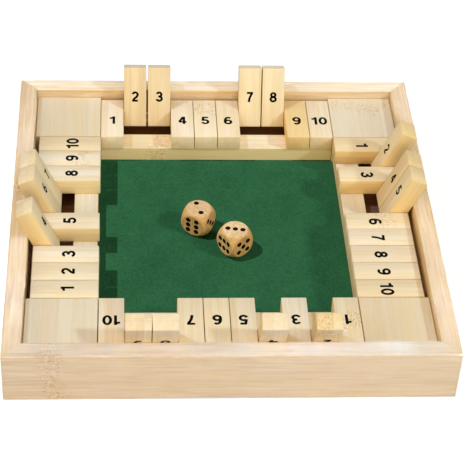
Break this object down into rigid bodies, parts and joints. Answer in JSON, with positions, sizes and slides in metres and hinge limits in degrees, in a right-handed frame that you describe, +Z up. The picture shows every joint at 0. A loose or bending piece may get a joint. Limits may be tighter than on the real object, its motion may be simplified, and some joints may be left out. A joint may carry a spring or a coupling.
{
  "type": "flap dice game",
  "caption": "Square wooden tray with a row of numbered hinged flaps along each wall, a felt-lined throwing area and two loose dice.",
  "frame": {"origin": "centre of the tray's underside", "axes": "+Z up out of the open tray, +Y towards the back row of flaps, whose numbers run from left to right"},
  "size_m": [0.29, 0.29, 0.0613],
  "materials": {
    "box_bamboo": "satin clear lacquer over laminated bamboo",
    "flap_bamboo": "satin clear lacquer over bamboo, printed black numerals",
    "base_board": "plain plywood",
    "felt": "short-pile green felt",
    "pivot_rod": "drawn wire",
    "dice_wood": "waxed wood, black pips"
  },
  "bodies": {
    "tray": {"wall_back": "box_bamboo", "wall_right": "box_bamboo", "wall_front": "box_bamboo", "wall_left": "box_bamboo", "base_board": "base_board", "felt_lining": "felt", "block_back_right": "box_bamboo", "block_front_right": "box_bamboo", "block_front_left": "box_bamboo", "block_back_left": "box_bamboo", "ledge_back": "box_bamboo", "ledge_right": "box_bamboo", "ledge_front": "box_bamboo", "ledge_left": "box_bamboo", "rod_back": "pivot_rod", "rod_right": "pivot_rod", "rod_front": "pivot_rod", "rod_left": "pivot_rod"},
    "flap_back_1": {"flap_back_1": "flap_bamboo"},
    "flap_back_2": {"flap_back_2": "flap_bamboo"},
    "flap_back_3": {"flap_back_3": "flap_bamboo"},
    "flap_back_4": {"flap_back_4": "flap_bamboo"},
    "flap_back_5": {"flap_back_5": "flap_bamboo"},
    "flap_back_6": {"flap_back_6": "flap_bamboo"},
    "flap_back_7": {"flap_back_7": "flap_bamboo"},
    "flap_back_8": {"flap_back_8": "flap_bamboo"},
    "flap_back_9": {"flap_back_9": "flap_bamboo"},
    "flap_back_10": {"flap_back_10": "flap_bamboo"},
    "flap_right_1": {"flap_right_1": "flap_bamboo"},
    "flap_right_2": {"flap_right_2": "flap_bamboo"},
    "flap_right_3": {"flap_right_3": "flap_bamboo"},
    "flap_right_4": {"flap_right_4": "flap_bamboo"},
    "flap_right_5": {"flap_right_5": "flap_bamboo"},
    "flap_right_6": {"flap_right_6": "flap_bamboo"},
    "flap_right_7": {"flap_right_7": "flap_bamboo"},
    "flap_right_8": {"flap_right_8": "flap_bamboo"},
    "flap_right_9": {"flap_right_9": "flap_bamboo"},
    "flap_right_10": {"flap_right_10": "flap_bamboo"},
    "flap_front_1": {"flap_front_1": "flap_bamboo"},
    "flap_front_2": {"flap_front_2": "flap_bamboo"},
    "flap_front_3": {"flap_front_3": "flap_bamboo"},
    "flap_front_4": {"flap_front_4": "flap_bamboo"},
    "flap_front_5": {"flap_front_5": "flap_bamboo"},
    "flap_front_6": {"flap_front_6": "flap_bamboo"},
    "flap_front_7": {"flap_front_7": "flap_bamboo"},
    "flap_front_8": {"flap_front_8": "flap_bamboo"},
    "flap_front_9": {"flap_front_9": "flap_bamboo"},
    "flap_front_10": {"flap_front_10": "flap_bamboo"},
    "flap_left_1": {"flap_left_1": "flap_bamboo"},
    "flap_left_2": {"flap_left_2": "flap_bamboo"},
    "flap_left_3": {"flap_left_3": "flap_bamboo"},
    "flap_left_4": {"flap_left_4": "flap_bamboo"},
    "flap_left_5": {"flap_left_5": "flap_bamboo"},
    "flap_left_6": {"flap_left_6": "flap_bamboo"},
    "flap_left_7": {"flap_left_7": "flap_bamboo"},
    "flap_left_8": {"flap_left_8": "flap_bamboo"},
    "flap_left_9": {"flap_left_9": "flap_bamboo"},
    "flap_left_10": {"flap_left_10": "flap_bamboo"},
    "die_1": {"die_1": "dice_wood"},
    "die_2": {"die_2": "dice_wood"}
  },
  "joints": [
    {"name": "flap_back_1_hinge", "type": "hinge", "parent": "tray", "child": "flap_back_1", "pos_m": [0, 0.12075, 0.0264], "axis": [-1, 0, 0], "range_deg": [0, 113.15]},
    {"name": "flap_back_2_hinge", "type": "hinge", "parent": "tray", "child": "flap_back_2", "pos_m": [0, 0.12075, 0.0264], "axis": [-1, 0, 0], "range_deg": [-113.15, 0]},
    {"name": "flap_back_3_hinge", "type": "hinge", "parent": "tray", "child": "flap_back_3", "pos_m": [0, 0.12075, 0.0264], "axis": [-1, 0, 0], "range_deg": [-113.15, 0]},
    {"name": "flap_back_4_hinge", "type": "hinge", "parent": "tray", "child": "flap_back_4", "pos_m": [0, 0.12075, 0.0264], "axis": [-1, 0, 0], "range_deg": [0, 113.15]},
    {"name": "flap_back_5_hinge", "type": "hinge", "parent": "tray", "child": "flap_back_5", "pos_m": [0, 0.12075, 0.0264], "axis": [-1, 0, 0], "range_deg": [0, 113.15]},
    {"name": "flap_back_6_hinge", "type": "hinge", "parent": "tray", "child": "flap_back_6", "pos_m": [0, 0.12075, 0.0264], "axis": [-1, 0, 0], "range_deg": [0, 113.15]},
    {"name": "flap_back_7_hinge", "type": "hinge", "parent": "tray", "child": "flap_back_7", "pos_m": [0, 0.12075, 0.0264], "axis": [-1, 0, 0], "range_deg": [-113.15, 0]},
    {"name": "flap_back_8_hinge", "type": "hinge", "parent": "tray", "child": "flap_back_8", "pos_m": [0, 0.12075, 0.0264], "axis": [-1, 0, 0], "range_deg": [-113.15, 0]},
    {"name": "flap_back_9_hinge", "type": "hinge", "parent": "tray", "child": "flap_back_9", "pos_m": [0, 0.12075, 0.0264], "axis": [-1, 0, 0], "range_deg": [0, 113.15]},
    {"name": "flap_back_10_hinge", "type": "hinge", "parent": "tray", "child": "flap_back_10", "pos_m": [0, 0.12075, 0.0264], "axis": [-1, 0, 0], "range_deg": [0, 113.15]},
    {"name": "flap_right_1_hinge", "type": "hinge", "parent": "tray", "child": "flap_right_1", "pos_m": [0.12075, 0, 0.0264], "axis": [0, 1, 0], "range_deg": [0, 113.15]},
    {"name": "flap_right_2_hinge", "type": "hinge", "parent": "tray", "child": "flap_right_2", "pos_m": [0.12075, 0, 0.0264], "axis": [0, 1, 0], "range_deg": [-113.15, 0]},
    {"name": "flap_right_3_hinge", "type": "hinge", "parent": "tray", "child": "flap_right_3", "pos_m": [0.12075, 0, 0.0264], "axis": [0, 1, 0], "range_deg": [0, 113.15]},
    {"name": "flap_right_4_hinge", "type": "hinge", "parent": "tray", "child": "flap_right_4", "pos_m": [0.12075, 0, 0.0264], "axis": [0, 1, 0], "range_deg": [-113.15, 0]},
    {"name": "flap_right_5_hinge", "type": "hinge", "parent": "tray", "child": "flap_right_5", "pos_m": [0.12075, 0, 0.0264], "axis": [0, 1, 0], "range_deg": [-113.15, 0]},
    {"name": "flap_right_6_hinge", "type": "hinge", "parent": "tray", "child": "flap_right_6", "pos_m": [0.12075, 0, 0.0264], "axis": [0, 1, 0], "range_deg": [0, 113.15]},
    {"name": "flap_right_7_hinge", "type": "hinge", "parent": "tray", "child": "flap_right_7", "pos_m": [0.12075, 0, 0.0264], "axis": [0, 1, 0], "range_deg": [0, 113.15]},
    {"name": "flap_right_8_hinge", "type": "hinge", "parent": "tray", "child": "flap_right_8", "pos_m": [0.12075, 0, 0.0264], "axis": [0, 1, 0], "range_deg": [0, 113.15]},
    {"name": "flap_right_9_hinge", "type": "hinge", "parent": "tray", "child": "flap_right_9", "pos_m": [0.12075, 0, 0.0264], "axis": [0, 1, 0], "range_deg": [0, 113.15]},
    {"name": "flap_right_10_hinge", "type": "hinge", "parent": "tray", "child": "flap_right_10", "pos_m": [0.12075, 0, 0.0264], "axis": [0, 1, 0], "range_deg": [0, 113.15]},
    {"name": "flap_front_1_hinge", "type": "hinge", "parent": "tray", "child": "flap_front_1", "pos_m": [0, -0.12075, 0.0264], "axis": [1, 0, 0], "range_deg": [0, 113.15]},
    {"name": "flap_front_2_hinge", "type": "hinge", "parent": "tray", "child": "flap_front_2", "pos_m": [0, -0.12075, 0.0264], "axis": [1, 0, 0], "range_deg": [-113.15, 0]},
    {"name": "flap_front_3_hinge", "type": "hinge", "parent": "tray", "child": "flap_front_3", "pos_m": [0, -0.12075, 0.0264], "axis": [1, 0, 0], "range_deg": [0, 113.15]},
    {"name": "flap_front_4_hinge", "type": "hinge", "parent": "tray", "child": "flap_front_4", "pos_m": [0, -0.12075, 0.0264], "axis": [1, 0, 0], "range_deg": [-113.15, 0]},
    {"name": "flap_front_5_hinge", "type": "hinge", "parent": "tray", "child": "flap_front_5", "pos_m": [0, -0.12075, 0.0264], "axis": [1, 0, 0], "range_deg": [0, 113.15]},
    {"name": "flap_front_6_hinge", "type": "hinge", "parent": "tray", "child": "flap_front_6", "pos_m": [0, -0.12075, 0.0264], "axis": [1, 0, 0], "range_deg": [0, 113.15]},
    {"name": "flap_front_7_hinge", "type": "hinge", "parent": "tray", "child": "flap_front_7", "pos_m": [0, -0.12075, 0.0264], "axis": [1, 0, 0], "range_deg": [0, 113.15]},
    {"name": "flap_front_8_hinge", "type": "hinge", "parent": "tray", "child": "flap_front_8", "pos_m": [0, -0.12075, 0.0264], "axis": [1, 0, 0], "range_deg": [-113.15, 0]},
    {"name": "flap_front_9_hinge", "type": "hinge", "parent": "tray", "child": "flap_front_9", "pos_m": [0, -0.12075, 0.0264], "axis": [1, 0, 0], "range_deg": [-113.15, 0]},
    {"name": "flap_front_10_hinge", "type": "hinge", "parent": "tray", "child": "flap_front_10", "pos_m": [0, -0.12075, 0.0264], "axis": [1, 0, 0], "range_deg": [0, 113.15]},
    {"name": "flap_left_1_hinge", "type": "hinge", "parent": "tray", "child": "flap_left_1", "pos_m": [-0.12075, 0, 0.0264], "axis": [0, -1, 0], "range_deg": [0, 113.15]},
    {"name": "flap_left_2_hinge", "type": "hinge", "parent": "tray", "child": "flap_left_2", "pos_m": [-0.12075, 0, 0.0264], "axis": [0, -1, 0], "range_deg": [0, 113.15]},
    {"name": "flap_left_3_hinge", "type": "hinge", "parent": "tray", "child": "flap_left_3", "pos_m": [-0.12075, 0, 0.0264], "axis": [0, -1, 0], "range_deg": [0, 113.15]},
    {"name": "flap_left_4_hinge", "type": "hinge", "parent": "tray", "child": "flap_left_4", "pos_m": [-0.12075, 0, 0.0264], "axis": [0, -1, 0], "range_deg": [-113.15, 0]},
    {"name": "flap_left_5_hinge", "type": "hinge", "parent": "tray", "child": "flap_left_5", "pos_m": [-0.12075, 0, 0.0264], "axis": [0, -1, 0], "range_deg": [0, 113.15]},
    {"name": "flap_left_6_hinge", "type": "hinge", "parent": "tray", "child": "flap_left_6", "pos_m": [-0.12075, 0, 0.0264], "axis": [0, -1, 0], "range_deg": [-113.15, 0]},
    {"name": "flap_left_7_hinge", "type": "hinge", "parent": "tray", "child": "flap_left_7", "pos_m": [-0.12075, 0, 0.0264], "axis": [0, -1, 0], "range_deg": [-113.15, 0]},
    {"name": "flap_left_8_hinge", "type": "hinge", "parent": "tray", "child": "flap_left_8", "pos_m": [-0.12075, 0, 0.0264], "axis": [0, -1, 0], "range_deg": [0, 113.15]},
    {"name": "flap_left_9_hinge", "type": "hinge", "parent": "tray", "child": "flap_left_9", "pos_m": [-0.12075, 0, 0.0264], "axis": [0, -1, 0], "range_deg": [0, 113.15]},
    {"name": "flap_left_10_hinge", "type": "hinge", "parent": "tray", "child": "flap_left_10", "pos_m": [-0.12075, 0, 0.0264], "axis": [0, -1, 0], "range_deg": [0, 113.15]},
    {"name": "die_1_lift", "type": "slide", "parent": "tray", "child": "die_1", "axis": [0, 0, 1], "range_m": [0, 0.06]},
    {"name": "die_2_lift", "type": "slide", "parent": "tray", "child": "die_2", "axis": [0, 0, 1], "range_m": [0, 0.06]}
  ]
}
